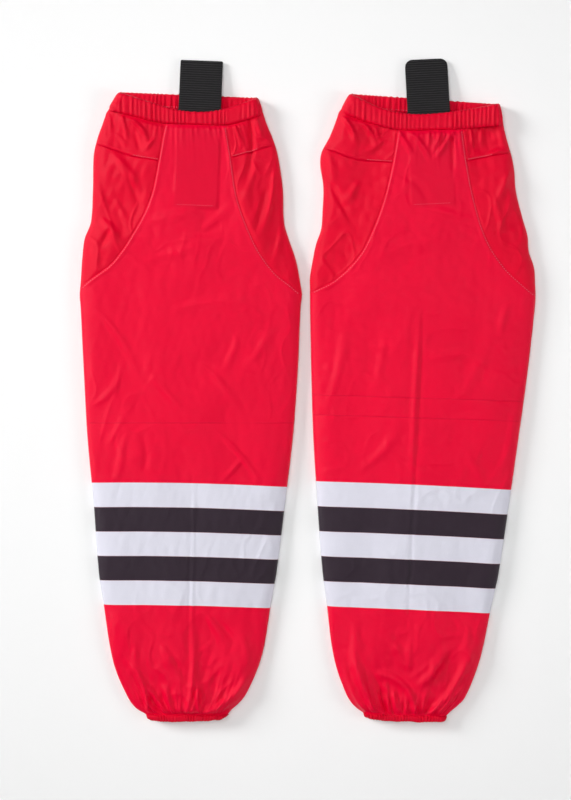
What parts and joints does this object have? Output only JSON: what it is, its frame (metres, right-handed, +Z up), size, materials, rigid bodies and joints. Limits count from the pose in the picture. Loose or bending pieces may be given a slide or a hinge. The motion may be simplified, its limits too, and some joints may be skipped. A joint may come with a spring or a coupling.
{
  "type": "ice hockey socks",
  "caption": "Pair of footless knit hockey socks with shaped knees, elastic waistbands, gathered ankle hems and elastic hanging straps with hook tape.",
  "frame": {"origin": "on the floor under the middle of the pair's bounding box, with the socks lying flat", "axes": "+X across the pair from the left sock to the right one, +Y along the socks from the ankle hems to the waistbands, +Z up out of the floor"},
  "size_m": [0.547, 0.7978, 0.0199],
  "materials": {
    "printed_knit": "matt knit, printed with black and white bands",
    "red_knit": "matt knit",
    "overlock_thread": "matt thread",
    "inner_elastic": "matt",
    "strap_webbing": "ribbed elastic webbing",
    "hook_tape": "fine hooks"
  },
  "bodies": {
    "left_sock": {"left_front_panel": "printed_knit", "left_back_panel": "red_knit", "left_outer_gusset": "red_knit", "left_inner_gusset": "red_knit", "left_outer_yoke": "red_knit", "left_inner_yoke": "red_knit", "left_outer_gusset_seam": "overlock_thread", "left_inner_gusset_seam": "overlock_thread", "left_outer_yoke_seam": "overlock_thread", "left_inner_yoke_seam": "overlock_thread", "left_outer_side_seam": "overlock_thread", "left_inner_side_seam": "overlock_thread", "left_waistband_casing": "red_knit", "left_waistband_elastic": "inner_elastic", "left_cuff_hem": "red_knit", "left_cuff_elastic": "inner_elastic", "left_strap_anchor": "strap_webbing"},
    "left_strap": {"left_strap_tab": "strap_webbing", "left_hook_patch": "hook_tape"},
    "right_sock": {"right_front_panel": "printed_knit", "right_back_panel": "red_knit", "right_inner_gusset": "red_knit", "right_outer_gusset": "red_knit", "right_inner_yoke": "red_knit", "right_outer_yoke": "red_knit", "right_inner_gusset_seam": "overlock_thread", "right_outer_gusset_seam": "overlock_thread", "right_inner_yoke_seam": "overlock_thread", "right_outer_yoke_seam": "overlock_thread", "right_inner_side_seam": "overlock_thread", "right_outer_side_seam": "overlock_thread", "right_waistband_casing": "red_knit", "right_waistband_elastic": "inner_elastic", "right_cuff_hem": "red_knit", "right_cuff_elastic": "inner_elastic", "right_strap_anchor": "strap_webbing"},
    "right_strap": {"right_strap_tab": "strap_webbing", "right_hook_patch": "hook_tape"}
  },
  "joints": [
    {"name": "left_strap_fold", "type": "hinge", "parent": "left_sock", "child": "left_strap", "pos_m": [-0.12974, 0.33333, 0.0145], "axis": [0.9993, -0.0384, 0], "range_deg": [0, 180]},
    {"name": "right_sock_slide", "type": "slide", "parent": "left_sock", "child": "right_sock", "axis": [1, 0, 0], "range_m": [0, 0.25]},
    {"name": "right_strap_fold", "type": "hinge", "parent": "right_sock", "child": "right_strap", "pos_m": [0.14526, 0.33508, 0.0145], "axis": [0.999, 0.0447, 0], "range_deg": [0, 180]}
  ]
}
